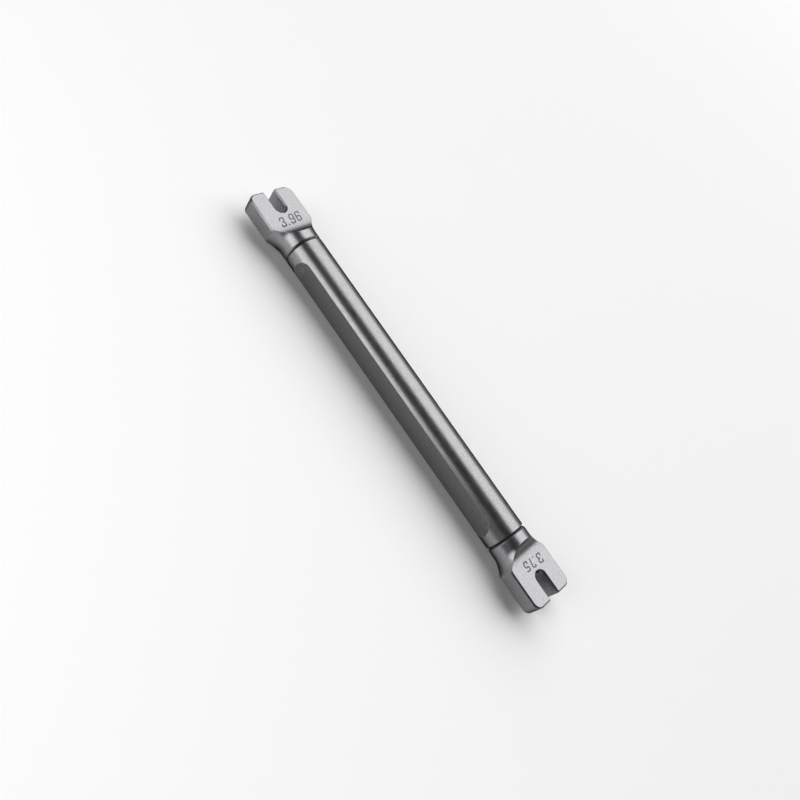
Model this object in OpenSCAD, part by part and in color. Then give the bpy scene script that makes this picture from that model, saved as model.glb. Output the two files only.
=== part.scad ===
// Double-ended spoke wrench with a round bar handle.
// +X runs along the handle towards the 3.75 head, +Z is square to the flat faces of the heads,
// and the origin is the middle of the handle. All lengths are in millimetres.

/* [Handle] */
// Diameter of the round bar
handle_d = 12.7; // [11.5:0.1:14]
// Length of the bar between its end faces
handle_len = 105.4; // [85:0.1:130]
// Chamfer round each end face of the bar
handle_end_chamfer = 0.1; // [0.05:0.05:0.6]

/* [Side flats] */
// Depth of each side flat below the round surface
flat_depth = 1.3; // [0.6:0.1:1.8]
// Length of the level floor of each flat
flat_floor_len = 90.8; // [60:0.1:94]
// Diameter of the end mill whose radius ends each flat
flat_cutter_d = 12; // [8:0.5:16]

/* [Spacer rings] */
// Thickness of the black ring between handle and head
spacer_thickness = 0.5; // [0.2:0.05:1]
// How far the rim of the ring lies below the surface of the bar, down in the groove
spacer_recess = 0.45; // [0:0.05:0.8]

/* [Shanks] */
// Diameter of the shank that seats in the handle
shank_d = 7; // [5:0.1:8.5]
// Length of the shank beyond the head's shoulder
shank_len = 18; // [12:0.5:30]
// Chamfer on the end of the shank
shank_chamfer = 0.6; // [0.2:0.1:1.5]
// Clearance all round between the shank and what it passes through
shank_clearance = 0.02; // [0.01:0.01:0.1]
// Space left past the end of the shank in its bore
socket_relief = 1; // [0.3:0.1:3]
// Angle of the drill point at the bottom of the bore
drill_point_angle = 118; // [90:1:140]

/* [Heads] */
// Length of a head from its shoulder to its tip
head_len = 21.3; // [18:0.1:28]
// Straight part of the neck before it flares
neck_len = 2.9; // [1:0.1:5]
// Radius of the concave flare turned behind the head
flare_r = 7.2; // [5:0.1:12]
// Chamfer round the shoulder, wide enough to make a groove of the joint
shoulder_chamfer = 0.45; // [0.05:0.05:0.8]
// Width across the side walls of a head
head_w = 16.4; // [14:0.1:20]
// Thickness across the flat faces of a head
head_t = 6; // [4.5:0.1:8]
// Distance from the shoulder to the start of the level face
face_setback = 9.2; // [8:0.1:11]
// Radius of the cutter that leaves the scoop behind each face
scoop_r = 7; // [5:0.1:9]
// Radius of the outer corners at the tip
corner_r = 2.5; // [1:0.1:4]
// Chamfer on the outer edges of both faces
edge_chamfer = 0.45; // [0.1:0.05:0.8]

/* [Jaws] */
// Width of the wider slot
wide_slot_w = 3.96; // [3:0.01:6]
// Width of the narrower slot
narrow_slot_w = 3.75; // [3:0.01:6]
// Depth of each slot from the tip to its round end
slot_depth = 8.5; // [6:0.1:10]
// Chamfer on the slot's edges at both faces
slot_chamfer = 0.45; // [0.1:0.05:0.8]
// Chamfer on the upright edges at the mouth of the slot
mouth_chamfer = 0.3; // [0.1:0.05:0.8]

/* [Hidden] */
$fn = 96;

// How far a cutting shape runs past what it cuts
overrun = 1;
handle_r = handle_d / 2;
flat_offset = handle_r - flat_depth;
flat_cutter_r = flat_cutter_d / 2;
spacer_r = handle_r - spacer_recess;
shank_r = shank_d / 2;
socket_r = shank_r + shank_clearance;
socket_depth = shank_len - spacer_thickness + socket_relief;
socket_point_len = socket_r / tan(drill_point_angle / 2);
shoulder_x = handle_len / 2 + spacer_thickness;
half_w = head_w / 2;
half_t = head_t / 2;
// The turned blank is just wide enough to leave the corners of the head whole
blank_r = norm([half_w, half_t]);
metal_colour = [0.5, 0.5, 0.51];
head_colour = [0.56, 0.56, 0.57];
spacer_colour = [0.04, 0.04, 0.04];

// Turns a shape made up along +Z so that it runs along +X
module along_x() {
    rotate([0, 90, 0]) children();
}

// Puts two copies of a shape on opposite sides of the XZ plane
module both_sides() {
    for (side = [0, 1]) {
        mirror([0, side, 0]) children();
    }
}

// Puts two copies of a shape above and below the XY plane
module both_faces() {
    for (side = [0, 1]) {
        mirror([0, 0, side]) children();
    }
}

// Half outline of the bar with its chamfered ends, radius across and length upwards
module bar_outline() {
    half_len = handle_len / 2;
    polygon([
        [0, -half_len],
        [handle_r - handle_end_chamfer, -half_len],
        [handle_r, -half_len + handle_end_chamfer],
        [handle_r, half_len - handle_end_chamfer],
        [handle_r - handle_end_chamfer, half_len],
        [0, half_len]
    ]);
}

// What the end mill takes away for one side flat
module flat_cut() {
    cut_h = handle_d + 2 * overrun;
    translate([-flat_floor_len / 2, flat_offset, -cut_h / 2])
        cube([flat_floor_len, flat_cutter_d, cut_h]);
    for (end = [-1, 1]) {
        translate([end * flat_floor_len / 2, flat_offset + flat_cutter_r, 0])
            cylinder(r = flat_cutter_r, h = cut_h, center = true);
    }
}

// Blind bore for a shank, opening at the +X end of the bar, with a drill point at its bottom
module socket_cut() {
    bottom_x = handle_len / 2 - socket_depth;
    translate([bottom_x, 0, 0])
        along_x() cylinder(r = socket_r, h = socket_depth + overrun);
    translate([bottom_x - socket_point_len, 0, 0])
        along_x() cylinder(r1 = 0, r2 = socket_r, h = socket_point_len);
}

// The bar: turned, chamfered, bored at both ends and milled flat on two sides
module handle() {
    color(metal_colour)
    difference() {
        along_x() rotate_extrude() bar_outline();
        both_sides() flat_cut();
        for (turn = [0, 180]) {
            rotate([0, 0, turn]) socket_cut();
        }
    }
}

// Ring that closes the joint between the bar and a head's shoulder
module spacer_ring() {
    color(spacer_colour)
    translate([handle_len / 2, 0, 0])
        along_x()
            difference() {
                cylinder(r = spacer_r, h = spacer_thickness);
                translate([0, 0, -overrun])
                    cylinder(r = socket_r, h = spacer_thickness + 2 * overrun);
            }
}

// Half outline of the turned blank of a head, radius across and length upwards from the shoulder
module blank_outline() {
    difference() {
        polygon([
            [0, -shank_len],
            [shank_r - shank_chamfer, -shank_len],
            [shank_r, -shank_len + shank_chamfer],
            [shank_r, 0],
            [handle_r - shoulder_chamfer, 0],
            [handle_r, shoulder_chamfer],
            [handle_r, neck_len],
            [blank_r, neck_len],
            [blank_r, head_len],
            [0, head_len]
        ]);
        translate([handle_r + flare_r, neck_len]) circle(r = flare_r);
    }
}

// Cross-section of the flat part of a head, chamfered at its four corners
module head_section() {
    polygon([
        [half_w, half_t - edge_chamfer],
        [half_w - edge_chamfer, half_t],
        [edge_chamfer - half_w, half_t],
        [-half_w, half_t - edge_chamfer],
        [-half_w, edge_chamfer - half_t],
        [edge_chamfer - half_w, -half_t],
        [half_w - edge_chamfer, -half_t],
        [half_w, edge_chamfer - half_t]
    ]);
}

// Side outline of the flat part between its tip corners, length across and thickness upwards
module tip_outline() {
    polygon([
        [0, -half_t],
        [head_len - edge_chamfer, -half_t],
        [head_len, edge_chamfer - half_t],
        [head_len, half_t - edge_chamfer],
        [head_len - edge_chamfer, half_t],
        [0, half_t]
    ]);
}

// Half outline of the round corner post, chamfered at both faces
module corner_outline() {
    polygon([
        [0, -half_t],
        [corner_r - edge_chamfer, -half_t],
        [corner_r, edge_chamfer - half_t],
        [corner_r, half_t - edge_chamfer],
        [corner_r - edge_chamfer, half_t],
        [0, half_t]
    ]);
}

// The whole flat part of a head, with round corners at the tip and chamfered edges. It starts at
// the shoulder, so that it runs right through the neck and is one piece with it.
module flat_part() {
    corner_x = head_len - corner_r;
    corner_y = half_w - corner_r;
    rotate([90, 0, 90])
        linear_extrude(height = corner_x) head_section();
    rotate([90, 0, 0])
        linear_extrude(height = 2 * corner_y, center = true) tip_outline();
    both_sides()
        translate([corner_x, corner_y, 0])
            rotate_extrude() corner_outline();
}

// Cross-section behind the level faces: as wide as the head, with its chamfers carried on upwards
// so that they pass clear of the round neck
module neck_section() {
    top = handle_r + overrun;
    slope = top - half_t + edge_chamfer;
    polygon([
        [half_w, half_t - edge_chamfer],
        [half_w - slope, top],
        [slope - half_w, top],
        [-half_w, half_t - edge_chamfer],
        [-half_w, edge_chamfer - half_t],
        [slope - half_w, -top],
        [half_w - slope, -top],
        [half_w, edge_chamfer - half_t]
    ]);
}

// Everything behind the level faces that the cutters for the side walls and chamfers leave
module neck_part() {
    translate([-shank_len - overrun, 0, 0])
        rotate([90, 0, 90])
            linear_extrude(height = shank_len + overrun + face_setback) neck_section();
}

// Round cutter that leaves the scoop where a face runs up into the neck
module scoop_cut() {
    translate([face_setback, 0, half_t + scoop_r])
        rotate([90, 0, 0])
            cylinder(r = scoop_r, h = 2 * blank_r + 2 * overrun, center = true);
}

// Slot with a round end, open at the tip, and chamfered at both faces and at its mouth
module slot_cut(slot_w) {
    slot_r = slot_w / 2;
    end_x = head_len - slot_depth + slot_r;
    straight_len = head_len - end_x + overrun;
    translate([end_x, -slot_r, -half_t - overrun])
        cube([straight_len, slot_w, head_t + 2 * overrun]);
    translate([end_x, 0, 0])
        cylinder(r = slot_r, h = head_t + 2 * overrun, center = true);
    both_faces() {
        translate([end_x, 0, half_t - slot_chamfer])
            cylinder(r1 = slot_r, r2 = slot_r + slot_chamfer + overrun, h = slot_chamfer + overrun);
        translate([end_x, 0, 0])
            rotate([90, 0, 90])
                linear_extrude(height = straight_len)
                    polygon([
                        [-slot_r, half_t - slot_chamfer],
                        [slot_r, half_t - slot_chamfer],
                        [slot_r + slot_chamfer + overrun, half_t + overrun],
                        [-slot_r - slot_chamfer - overrun, half_t + overrun]
                    ]);
    }
    linear_extrude(height = head_t + 2 * overrun, center = true)
        polygon([
            [head_len - mouth_chamfer, -slot_r],
            [head_len + overrun, -slot_r - mouth_chamfer - overrun],
            [head_len + overrun, slot_r + mouth_chamfer + overrun],
            [head_len - mouth_chamfer, slot_r]
        ]);
}

// One head with its neck and shank, turned from one blank and then milled
module head(slot_w) {
    color(head_colour)
    translate([shoulder_x, 0, 0])
        difference() {
            intersection() {
                along_x() rotate_extrude() blank_outline();
                union() {
                    neck_part();
                    flat_part();
                }
            }
            both_faces() scoop_cut();
            slot_cut(slot_w);
        }
}

handle();
rotate([0, 0, 180]) head(wide_slot_w);  // head_3_96
head(narrow_slot_w);  // head_3_75
rotate([0, 0, 180]) spacer_ring();  // spacer_ring_3_96
spacer_ring();  // spacer_ring_3_75
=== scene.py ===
# A double-ended spoke wrench: a round steel handle with a flat milled along each side, and at each
# end a thin black ring and a forked steel head. Lengths are in metres unless a name ends in mm.
import math

import bmesh
import bpy
from mathutils import Matrix, Vector


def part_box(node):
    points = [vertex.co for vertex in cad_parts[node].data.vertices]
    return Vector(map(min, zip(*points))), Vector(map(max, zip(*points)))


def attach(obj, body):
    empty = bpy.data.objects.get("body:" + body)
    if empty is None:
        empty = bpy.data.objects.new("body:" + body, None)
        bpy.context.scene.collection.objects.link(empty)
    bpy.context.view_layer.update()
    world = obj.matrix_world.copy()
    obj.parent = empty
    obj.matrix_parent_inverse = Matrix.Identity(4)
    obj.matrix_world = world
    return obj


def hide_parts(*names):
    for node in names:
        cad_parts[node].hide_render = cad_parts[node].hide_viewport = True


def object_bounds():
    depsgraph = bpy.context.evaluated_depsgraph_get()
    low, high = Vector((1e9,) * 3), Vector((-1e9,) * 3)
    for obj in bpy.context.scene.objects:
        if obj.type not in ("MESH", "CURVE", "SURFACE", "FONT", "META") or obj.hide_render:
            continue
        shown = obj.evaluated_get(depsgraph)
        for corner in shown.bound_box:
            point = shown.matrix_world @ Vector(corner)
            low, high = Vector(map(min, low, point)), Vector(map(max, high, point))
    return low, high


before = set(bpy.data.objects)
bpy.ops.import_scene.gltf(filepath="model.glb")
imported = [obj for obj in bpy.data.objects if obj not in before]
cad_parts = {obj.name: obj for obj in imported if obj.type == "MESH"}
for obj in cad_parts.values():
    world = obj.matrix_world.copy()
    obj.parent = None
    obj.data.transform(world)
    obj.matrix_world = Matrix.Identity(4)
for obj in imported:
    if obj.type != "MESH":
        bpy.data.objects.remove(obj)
cad_low, cad_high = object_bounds()

# Handle
# A round steel bar, turned, with a flat milled along each side by the edge of an end mill. It is
# blasted with fine glass beads after the milling and plated with nickel. The round surface comes
# out an even satin, and the flats, where the cutter left its marks, coarser. The flats' colour is
# also painted darker than the bar's, as painted shade for the shadowed floor that they reflect.

MM = 0.001

HANDLE_LIGHT = "#969697"
HANDLE_DARK = "#7E7E7F"
HANDLE_EDGE_TINT = "#000000"
HANDLE_ROUGHNESS_LOW = 0.27
HANDLE_ROUGHNESS_HIGH = 0.33
BEAD_DENT_MM = 0.34
BEAD_DENT_DEPTH_MM = 0.002
BEAD_DENT_DETAIL = 2.0
CLOUD_MM = 1.8
CLOUD_DETAIL = 4.0
WORN_EDGE_MM = 0.12
WORN_EDGE_SAMPLES = 6

# The flats' grain greys, set darker than the bar's as painted shade for the shadowed floor they reflect
FLAT_LIGHT_PAINTED_SHADE = "#8C8C8D"
FLAT_DARK_PAINTED_SHADE = "#525253"
FLAT_ROUGHNESS = 0.42
FLAT_GRIT_MM = 0.28
FLAT_GRIT_DEPTH_MM = 0.002
FLAT_GRIT_DETAIL = 3.0
FLAT_RIM_RADIUS_MM = 6.3
FLAT_RIM_FADE_MM = 0.06
FLAT_REACH_MM = 51.0

# Blender's noise hardly leaves this range, which is spread to run from 0 to 1
NOISE_LOW = 0.3
NOISE_HIGH = 0.7

# Places of the sockets that share their names with others on a Math or a Mix node
FIRST = 0
SECOND = 1
MIX_SHARE = 0
VALUE_A = 2
VALUE_B = 3
VALUE_OUT = 0
COLOUR_A = 6
COLOUR_B = 7
COLOUR_OUT = 2


def linear(hex_colour):
    """sRGB hex colour to the linear RGBA that a shader socket takes."""
    values = []
    for start in (1, 3, 5):
        value = int(hex_colour[start:start + 2], 16) / 255
        values.append(value / 12.92 if value <= 0.04045 else ((value + 0.055) / 1.055) ** 2.4)
    return (*values, 1.0)


def new_material(name):
    """A node material with nothing in it but its output; gives the material and its node tree."""
    material = bpy.data.materials.new(name)
    material.use_nodes = True
    tree = material.node_tree
    tree.nodes.clear()
    tree.nodes.new("ShaderNodeOutputMaterial")
    return material, tree


def add_node(tree, kind, settings=(), inputs=()):
    """Adds a node; settings are its own properties, and each input is a value or a linked socket."""
    node = tree.nodes.new(kind)
    for name, value in dict(settings).items():
        setattr(node, name, value)
    for key, value in dict(inputs).items():
        if isinstance(value, bpy.types.NodeSocket):
            tree.links.new(value, node.inputs[key])
        else:
            node.inputs[key].default_value = value
    return node


def speckle(tree, place, grain_mm, detail):
    """Noise with grains of a real size, spread so that it runs from about 0 to 1."""
    noise = add_node(tree, "ShaderNodeTexNoise", inputs={
        "Vector": place, "Scale": 1 / (grain_mm * MM), "Detail": detail,
    }).outputs["Fac"]
    return add_node(tree, "ShaderNodeMapRange", inputs={
        "Value": noise, "From Min": NOISE_LOW, "From Max": NOISE_HIGH,
    }).outputs["Result"]


def on_flats(tree, place):
    """1 on the flats and their round ends, which lie below the round surface, and 0 elsewhere."""
    parts = add_node(tree, "ShaderNodeSeparateXYZ", inputs={"Vector": place}).outputs
    across = add_node(tree, "ShaderNodeCombineXYZ", inputs={
        "Y": parts["Y"], "Z": parts["Z"],
    }).outputs["Vector"]
    radius = add_node(tree, "ShaderNodeVectorMath", {"operation": "LENGTH"}, {
        FIRST: across,
    }).outputs["Value"]
    below = add_node(tree, "ShaderNodeMapRange", inputs={
        "Value": radius,
        "From Min": FLAT_RIM_RADIUS_MM * MM,
        "From Max": (FLAT_RIM_RADIUS_MM - FLAT_RIM_FADE_MM) * MM,
    }).outputs["Result"]
    along = add_node(tree, "ShaderNodeMath", {"operation": "ABSOLUTE"}, {
        FIRST: parts["X"],
    }).outputs["Value"]
    short = add_node(tree, "ShaderNodeMath", {"operation": "LESS_THAN"}, {
        FIRST: along, SECOND: FLAT_REACH_MM * MM,
    }).outputs["Value"]
    return add_node(tree, "ShaderNodeMath", {"operation": "MULTIPLY"}, {
        FIRST: below, SECOND: short,
    }).outputs["Value"]


def blasted_steel(name, light, dark, edge_tint, roughness_low, roughness_high, has_flats):
    """Bead-blasted, nickel-plated steel: a fine even grain, faint clouds and edges worn smoother."""
    material, tree = new_material(name)
    place = add_node(tree, "ShaderNodeTexCoord").outputs["Object"]

    # The blasting is never quite even, which leaves soft clouds a little duller than the rest
    clouds = speckle(tree, place, CLOUD_MM, CLOUD_DETAIL)
    roughness = add_node(tree, "ShaderNodeMapRange", inputs={
        "Value": clouds, "To Min": roughness_high, "To Max": roughness_low,
    }).outputs["Result"]

    # The dents that the beads leave, each a speck lighter or darker than its neighbours. They are
    # drawn some four times as wide as real ones, so that they show
    dents = speckle(tree, place, BEAD_DENT_MM, BEAD_DENT_DETAIL)
    tone = add_node(tree, "ShaderNodeMix", {"data_type": "RGBA"}, {
        MIX_SHARE: dents, COLOUR_A: linear(dark), COLOUR_B: linear(light),
    }).outputs[COLOUR_OUT]
    rounded = add_node(tree, "ShaderNodeBevel", {"samples": WORN_EDGE_SAMPLES}, {
        "Radius": WORN_EDGE_MM * MM,
    }).outputs["Normal"]
    grain = add_node(tree, "ShaderNodeBump", inputs={
        "Strength": 1.0, "Distance": BEAD_DENT_DEPTH_MM * MM, "Height": dents, "Normal": rounded,
    }).outputs["Normal"]

    # The flats are duller and more strongly speckled, as the milling marks show through the blasting.
    # Their colour is also painted darker than the bar's: painted shade for the shadowed floor they reflect
    if has_flats:
        flat = on_flats(tree, place)
        grit = speckle(tree, place, FLAT_GRIT_MM, FLAT_GRIT_DETAIL)
        flat_tone_with_painted_shade = add_node(tree, "ShaderNodeMix", {"data_type": "RGBA"}, {
            MIX_SHARE: grit, COLOUR_A: linear(FLAT_DARK_PAINTED_SHADE), COLOUR_B: linear(FLAT_LIGHT_PAINTED_SHADE),
        }).outputs[COLOUR_OUT]
        tone = add_node(tree, "ShaderNodeMix", {"data_type": "RGBA"}, {
            MIX_SHARE: flat, COLOUR_A: tone, COLOUR_B: flat_tone_with_painted_shade,
        }).outputs[COLOUR_OUT]
        roughness = add_node(tree, "ShaderNodeMix", inputs={
            MIX_SHARE: flat, VALUE_A: roughness, VALUE_B: FLAT_ROUGHNESS,
        }).outputs[VALUE_OUT]
        grain = add_node(tree, "ShaderNodeBump", inputs={
            "Strength": flat, "Distance": FLAT_GRIT_DEPTH_MM * MM, "Height": grit, "Normal": grain,
        }).outputs["Normal"]

    # The dark edge tint draws the thin dark line that the satin metal shows along its outline
    shader = add_node(tree, "ShaderNodeBsdfPrincipled", inputs={
        "Base Color": tone, "Metallic": 1.0, "Roughness": roughness, "Normal": grain,
        "Specular Tint": linear(edge_tint),
    })
    tree.links.new(shader.outputs["BSDF"], tree.nodes["Material Output"].inputs["Surface"])
    return material


handle_steel = blasted_steel(
    "bead_blasted_nickel_plated_steel_painted_shade_on_flats", HANDLE_LIGHT, HANDLE_DARK, HANDLE_EDGE_TINT,
    HANDLE_ROUGHNESS_LOW, HANDLE_ROUGHNESS_HIGH, has_flats=True,
)
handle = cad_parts["handle"]
handle.material_slots[0].material = handle_steel

# Spacer rings
# A black nitrile rubber washer, stamped from sheet, that is pinched between the end of the handle
# and the shoulder of each head. Only its rim shows, as a thin dull black line.

RUBBER_BLACK = "#060607"
RUBBER_GREY = "#0D0D0E"
RUBBER_ROUGHNESS = 0.8
RUBBER_IOR = 1.52
RUBBER_GRAIN_MM = 0.12
RUBBER_GRAIN_DEPTH_MM = 0.004
RUBBER_GRAIN_DETAIL = 3.0

# Rubber cut from sheet: a deep matt black, with a faint dusty grain and no highlight
rubber, tree = new_material("black_nitrile_rubber")
place = add_node(tree, "ShaderNodeTexCoord").outputs["Object"]
rubber_grain = speckle(tree, place, RUBBER_GRAIN_MM, RUBBER_GRAIN_DETAIL)
rubber_tone = add_node(tree, "ShaderNodeMix", {"data_type": "RGBA"}, {
    MIX_SHARE: rubber_grain, COLOUR_A: linear(RUBBER_BLACK), COLOUR_B: linear(RUBBER_GREY),
}).outputs[COLOUR_OUT]
rubber_bump = add_node(tree, "ShaderNodeBump", inputs={
    "Distance": RUBBER_GRAIN_DEPTH_MM * MM, "Height": rubber_grain,
}).outputs["Normal"]
rubber_shader = add_node(tree, "ShaderNodeBsdfPrincipled", inputs={
    "Base Color": rubber_tone, "Roughness": RUBBER_ROUGHNESS, "IOR": RUBBER_IOR,
    "Normal": rubber_bump,
})
tree.links.new(rubber_shader.outputs["BSDF"], tree.nodes["Material Output"].inputs["Surface"])

for ring_name in ("spacer_ring_3_96", "spacer_ring_3_75"):
    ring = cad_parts[ring_name]
    ring.material_slots[0].material = rubber

# Heads
# One piece of tool steel each: turned with its neck and flare, then milled flat on both faces and
# both sides, slotted, blasted and plated. The slot's width is cut into the upper face of each head
# by a small engraving cutter that tapers to a flat nose, and the plating stays darker in the cut.

HEAD_LIGHT = "#98989A"
HEAD_DARK = "#818183"
HEAD_EDGE_TINT = "#000000"
HEAD_ROUGHNESS_LOW = 0.27
HEAD_ROUGHNESS_HIGH = 0.33
SMOOTH_BELOW_DEG = 24
WELD_MM = 0.0003
NEAR_TIP_MM = 2.0

CUT_LIGHT = "#6A6A6B"
CUT_DARK = "#565657"
CUT_ROUGHNESS = 0.5
CUT_GRAIN_MM = 0.1
CUT_GRAIN_DETAIL = 2.0
CUT_WIDTH_MM = 0.42
CUT_FLOOR_WIDTH_MM = 0.32
CUT_DEPTH_MM = 0.1
CUT_START_MM = 0.15
CORNER_MM = 0.5
CORNER_STEPS = 5
# The round end of a cut stops just short of a quarter turn, so that it keeps a last narrow face
END_TURN_DEG = 85
END_STEPS = 4

# Each stroke is a path of corner points, as shares of the digit's width and height, and whether it
# is a closed loop
DIGIT_STROKE_SHARES = {
    "3": [([(0, 0.78), (0, 1), (1, 1), (1, 0.6), (0.38, 0.54), (1, 0.42), (1, 0), (0, 0), (0, 0.24)], False)],
    "5": [([(0.95, 1), (0, 1), (0, 0.58), (1, 0.58), (1, 0), (0, 0), (0, 0.22)], False)],
    "6": [([(0, 0), (1, 0), (1, 0.54), (0, 0.54)], True), ([(1, 0.8), (1, 1), (0, 1), (0, 0.4)], False)],
    "7": [([(0, 0.84), (0, 1), (1, 1), (0.8, 0)], False)],
    "9": [([(0, 1), (1, 1), (1, 0.46), (0, 0.46)], True), ([(0, 0.2), (0, 0), (1, 0), (1, 0.6)], False)],
    ".": [([(0.5, 0), (0.5, 0.02)], False)],
}
DIGIT_WIDTH_MM = {"3": 1.5, "5": 1.35, "6": 1.45, "7": 1.2, "9": 1.5, ".": 0.2}

# The middle of each digit along the baseline, and how the number as a whole is set
WIDE_NUMBER_MM = (("3", -3.05), (".", -1.2), ("9", 0.85), ("6", 3.45))
WIDE_DIGIT_MM = 3.1
WIDE_BASE_MM = 61.35
WIDE_TILT_DEG = 4.6
WIDE_LEAN_DEG = 7.0
NARROW_NUMBER_MM = (("3", -3.75), (".", -1.55), ("7", -0.45), ("5", 2.2))
NARROW_DIGIT_MM = 2.65
NARROW_BASE_MM = 61.87
NARROW_TILT_DEG = -5.4
NARROW_LEAN_DEG = 6.0


def rounded_path(corners, closed):
    """The path through the corner points, with each corner rounded off."""
    path = []
    count = len(corners)
    for index, corner in enumerate(corners):
        if not closed and index in (0, count - 1):
            path.append(corner)
            continue
        before = corners[index - 1]
        after = corners[(index + 1) % count]
        reach = min(CORNER_MM, (before - corner).length / 2, (after - corner).length / 2)
        start = corner + (before - corner).normalized() * reach
        end = corner + (after - corner).normalized() * reach
        for step in range(CORNER_STEPS + 1):
            share = step / CORNER_STEPS
            path.append(start.lerp(corner, share).lerp(corner.lerp(end, share), share))
    return path


def cutter_stations(path, closed):
    """Where the cutter is along a path, where it is heading, and how far it has turned off at an end."""
    stations = []
    count = len(path)
    for index, point in enumerate(path):
        before = path[index - 1] if closed or index else path[index]
        after = path[(index + 1) % count] if closed or index < count - 1 else path[index]
        stations.append((point, (after - before).normalized(), 0.0))
    if closed:
        return stations
    full_turn = math.radians(END_TURN_DEG)
    turns = [full_turn * step / END_STEPS for step in range(1, END_STEPS + 1)]
    first, last = stations[0], stations[-1]
    head = [(first[0], first[1], -turn) for turn in reversed(turns)]
    tail = [(last[0], last[1], turn) for turn in turns]
    return head + stations + tail


def add_cut(cutter, corners, closed, lay, face_mm):
    """Adds the solid that the engraving cutter takes out along one stroke of a digit."""
    stations = cutter_stations(rounded_path(corners, closed), closed)
    taper = (CUT_WIDTH_MM - CUT_FLOOR_WIDTH_MM) / CUT_DEPTH_MM
    levels = (
        (face_mm + CUT_START_MM, (CUT_WIDTH_MM + taper * CUT_START_MM) / 2),
        (face_mm - CUT_DEPTH_MM, CUT_FLOOR_WIDTH_MM / 2),
    )
    rings = []
    for point, direction, turn in stations:
        across = Vector((-direction.y, direction.x))
        ring = []
        for level, half in levels:
            middle = point + direction * half * math.sin(turn)
            for side in (-1, 1):
                spot = lay(middle + across * side * half * math.cos(turn))
                ring.append(cutter.verts.new((spot.x, spot.y, level)))
        rings.append((ring[0], ring[1], ring[3], ring[2]))
    pairs = list(zip(rings, rings[1:]))
    if closed:
        pairs.append((rings[-1], rings[0]))
    else:
        cutter.faces.new(rings[0])
        cutter.faces.new(reversed(rings[-1]))
    for near, far in pairs:
        for side in range(4):
            following = (side + 1) % 4
            cutter.faces.new((near[following], near[side], far[side], far[following]))


def plain_mesh(name, source, scale):
    """A new mesh with the faces of a bmesh, and nothing else of it."""
    source.verts.index_update()
    corners = [vertex.co * scale for vertex in source.verts]
    faces = [[vertex.index for vertex in face.verts] for face in source.faces]
    mesh = bpy.data.meshes.new(name)
    mesh.from_pydata(corners, [], faces)
    return mesh


def numbered_head(node_name, number, digit_mm, base_mm, tilt_deg, lean_deg, outward):
    """A copy of a head with its number cut into the upper face; outward is the side of its tip."""
    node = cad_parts[node_name]
    tip = max(abs(corner.x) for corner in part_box(node_name))
    face_mm = max(v.co.z for v in node.data.vertices if tip - abs(v.co.x) < NEAR_TIP_MM * MM) / MM

    # The head is worked on in millimetres, where the cut's fine shapes keep their precision
    body = bmesh.new()
    body.from_mesh(node.data)
    bmesh.ops.remove_doubles(body, verts=body.verts, dist=WELD_MM * MM)
    bmesh.ops.recalc_face_normals(body, faces=body.faces)
    blank = bpy.data.objects.new(f"{node_name}_blank", plain_mesh(f"{node_name}_blank", body, 1 / MM))
    blank.data.materials.append(head_steel)
    body.free()

    tilt = math.radians(tilt_deg)
    lean = math.radians(lean_deg)
    along = Vector((math.cos(tilt), math.sin(tilt)))
    upright = Vector((math.sin(lean), math.cos(lean)))

    def lay(place):
        """A place beside and above the middle of the baseline, as seen with the tip up, to X and Y."""
        spot = along * place.x + upright * place.y
        return Vector((outward * (base_mm + spot.y), -outward * spot.x))

    cuts = bmesh.new()
    for digit, place_mm in number:
        width = DIGIT_WIDTH_MM[digit]
        for stroke, closed in DIGIT_STROKE_SHARES[digit]:
            corners = [
                Vector((place_mm + (x_share - 0.5) * width, y_share * digit_mm))
                for x_share, y_share in stroke
            ]
            add_cut(cuts, corners, closed, lay, face_mm)
    bmesh.ops.recalc_face_normals(cuts, faces=cuts.faces)
    cutter = bpy.data.objects.new(f"{node_name}_cutter", plain_mesh(f"{node_name}_cutter", cuts, 1))
    cutter.data.materials.append(cut_steel)
    cuts.free()

    for thing in (blank, cutter):
        bpy.context.scene.collection.objects.link(thing)
    cut = blank.modifiers.new("cut", "BOOLEAN")
    cut.operation = "DIFFERENCE"
    cut.solver = "EXACT"
    cut.use_self = True
    cut.material_mode = "TRANSFER"
    cut.object = cutter
    bpy.context.view_layer.update()
    evaluated = blank.evaluated_get(bpy.context.evaluated_depsgraph_get())
    finished = bpy.data.meshes.new_from_object(evaluated)
    finished.transform(Matrix.Diagonal((MM, MM, MM, 1.0)))
    for thing in (blank, cutter):
        bpy.data.objects.remove(thing)

    finished.name = f"{node_name}_numbered"
    finished.shade_smooth()
    finished.set_sharp_from_angle(angle=math.radians(SMOOTH_BELOW_DEG))
    head = bpy.data.objects.new(f"{node_name}_numbered", finished)
    bpy.context.scene.collection.objects.link(head)
    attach(head, "root")
    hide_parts(node_name)


head_steel = blasted_steel(
    "bead_blasted_nickel_plated_tool_steel", HEAD_LIGHT, HEAD_DARK, HEAD_EDGE_TINT,
    HEAD_ROUGHNESS_LOW, HEAD_ROUGHNESS_HIGH, has_flats=False,
)

# Steel as the engraving cutter leaves it: duller and greyer than the blasted face
cut_steel, tree = new_material("engraved_steel")
place = add_node(tree, "ShaderNodeTexCoord").outputs["Object"]
cut_grain = speckle(tree, place, CUT_GRAIN_MM, CUT_GRAIN_DETAIL)
cut_tone = add_node(tree, "ShaderNodeMix", {"data_type": "RGBA"}, {
    MIX_SHARE: cut_grain, COLOUR_A: linear(CUT_DARK), COLOUR_B: linear(CUT_LIGHT),
}).outputs[COLOUR_OUT]
cut_shader = add_node(tree, "ShaderNodeBsdfPrincipled", inputs={
    "Base Color": cut_tone, "Metallic": 1.0, "Roughness": CUT_ROUGHNESS,
})
tree.links.new(cut_shader.outputs["BSDF"], tree.nodes["Material Output"].inputs["Surface"])

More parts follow.
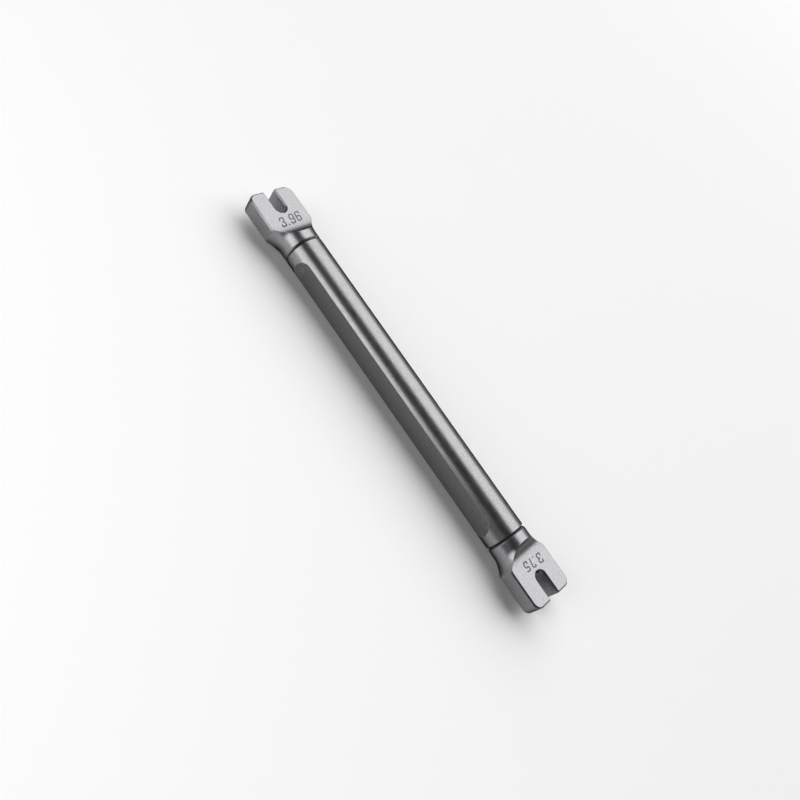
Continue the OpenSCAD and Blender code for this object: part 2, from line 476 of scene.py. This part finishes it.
numbered_head(
    "head_3_96", WIDE_NUMBER_MM, WIDE_DIGIT_MM, WIDE_BASE_MM, WIDE_TILT_DEG, WIDE_LEAN_DEG,
    outward=-1,
)
numbered_head(
    "head_3_75", NARROW_NUMBER_MM, NARROW_DIGIT_MM, NARROW_BASE_MM, NARROW_TILT_DEG, NARROW_LEAN_DEG,
    outward=1,
)

# Floor
# A wide round sheet of matt white card, cut from the roll, that the tool lies on. It fills the
# picture with an even pale ground and keeps the tool's soft shadow.

CARD_WHITE = "#F2F2F2"
CARD_ROUGHNESS = 0.9
CARD_GLOSS = 0.1
CARD_RADIUS = 6.0
CARD_SIDES = 64

# Uncoated card: an even, chalky white that shows no reflection of the tool
card, tree = new_material("matt_white_card")
card_shader = add_node(tree, "ShaderNodeBsdfPrincipled", inputs={
    "Base Color": linear(CARD_WHITE), "Roughness": CARD_ROUGHNESS, "Specular IOR Level": CARD_GLOSS,
})
tree.links.new(card_shader.outputs["BSDF"], tree.nodes["Material Output"].inputs["Surface"])

sheet = bmesh.new()
bmesh.ops.create_circle(sheet, cap_ends=True, segments=CARD_SIDES, radius=CARD_RADIUS)
floor_mesh = bpy.data.meshes.new("floor")
sheet.to_mesh(floor_mesh)
sheet.free()
floor_mesh.materials.append(card)
floor = bpy.data.objects.new("floor", floor_mesh)
floor.location.z = cad_low.z
bpy.context.scene.collection.objects.link(floor)

# Light
# Two soft panels of white cloth in a plain room. The key is a large one that stands behind the tool
# and leans over it, so that the faces of the heads and the back of the handle are bright, and its
# shadow falls to the front.

KEY_AZIMUTH_DEG = -16
KEY_ELEVATION_DEG = 51
KEY_ROLL_DEG = -12
KEY_DISTANCE = 2.8
KEY_WIDTH = 7.2
KEY_HEIGHT = 3.45
KEY_BRIGHTNESS = 2.4

# The small panel stands close in front and gives the handle its narrow second highlight, which
# ends before the 3.75 head because the panel is so near
FRONT_AZIMUTH_DEG = -158.5
FRONT_ELEVATION_DEG = 26
FRONT_ROLL_DEG = -6
FRONT_DISTANCE = 0.48
FRONT_WIDTH = 0.29
FRONT_HEIGHT = 0.34
FRONT_BRIGHTNESS = 2.65

WALL_GREY = "#B0B0B0"
CEILING_GREY = "#2E2E2F"
# Heights in the room, as shares of the way from the horizon to straight overhead
WALL_TOP_SHARE = 0.1
CEILING_SHARE = 0.32


def softbox(name, azimuth_deg, elevation_deg, roll_deg, distance, width, height, brightness):
    """A soft panel that faces the tool; azimuth 0 is behind it and 90 beyond the 3.75 head."""
    azimuth = math.radians(azimuth_deg)
    elevation = math.radians(elevation_deg)
    roll = math.radians(roll_deg)
    towards = Vector((
        math.cos(elevation) * math.sin(azimuth),
        math.cos(elevation) * math.cos(azimuth),
        math.sin(elevation),
    ))
    lamp = bpy.data.lights.new(name, "AREA")
    lamp.shape = "RECTANGLE"
    lamp.size = width
    lamp.size_y = height
    lamp.energy = brightness * math.pi * width * height
    panel = bpy.data.objects.new(name, lamp)
    panel.location = towards * distance
    facing = towards.to_track_quat("Z", "Y").to_matrix() @ Matrix.Rotation(roll, 3, "Z")
    panel.rotation_euler = facing.to_euler()
    panel.visible_camera = False
    bpy.context.scene.collection.objects.link(panel)


softbox(
    "key_panel", KEY_AZIMUTH_DEG, KEY_ELEVATION_DEG, KEY_ROLL_DEG,
    KEY_DISTANCE, KEY_WIDTH, KEY_HEIGHT, KEY_BRIGHTNESS,
)
softbox(
    "front_panel", FRONT_AZIMUTH_DEG, FRONT_ELEVATION_DEG, FRONT_ROLL_DEG,
    FRONT_DISTANCE, FRONT_WIDTH, FRONT_HEIGHT, FRONT_BRIGHTNESS,
)

# Grey walls, which a low view shows above the floor, and a dark ceiling that the top of the
# handle reflects as a dark band
world = bpy.data.worlds.new("studio")
world.use_nodes = True
tree = world.node_tree
direction = add_node(tree, "ShaderNodeTexCoord").outputs["Generated"]
height = add_node(tree, "ShaderNodeSeparateXYZ", inputs={"Vector": direction}).outputs["Z"]
ceiling = add_node(tree, "ShaderNodeMapRange", {"interpolation_type": "SMOOTHSTEP"}, {
    "Value": height, "From Min": WALL_TOP_SHARE, "From Max": CEILING_SHARE,
}).outputs["Result"]
room = add_node(tree, "ShaderNodeMix", {"data_type": "RGBA"}, {
    MIX_SHARE: ceiling, COLOUR_A: linear(WALL_GREY), COLOUR_B: linear(CEILING_GREY),
}).outputs[COLOUR_OUT]
tree.links.new(room, tree.nodes["Background"].inputs["Color"])
bpy.context.scene.world = world
bpy.context.scene.view_settings.view_transform = "Standard"

# Camera
# It looks down on the front of the tool from beyond its middle, turned so that the tool runs from
# the upper left of the picture to the lower right.

CAMERA_PLACE = Vector((0.03092, -0.15006, 0.17708))
CAMERA_AIM = Vector((0.00247, -0.00282, 0.0))
CAMERA_ROLL_DEG = 46.55
CAMERA_LENS_MM = 35.07
CAMERA_SENSOR_MM = 36.0

camera_data = bpy.data.cameras.new("camera")
camera_data.lens = CAMERA_LENS_MM
camera_data.sensor_width = CAMERA_SENSOR_MM
camera = bpy.data.objects.new("camera", camera_data)
back = CAMERA_PLACE - CAMERA_AIM
roll = Matrix.Rotation(math.radians(CAMERA_ROLL_DEG), 3, "Z")
turned = back.to_track_quat("Z", "Y").to_matrix() @ roll
camera.matrix_world = Matrix.Translation(CAMERA_PLACE) @ turned.to_4x4()
bpy.context.scene.collection.objects.link(camera)
bpy.context.scene.camera = camera
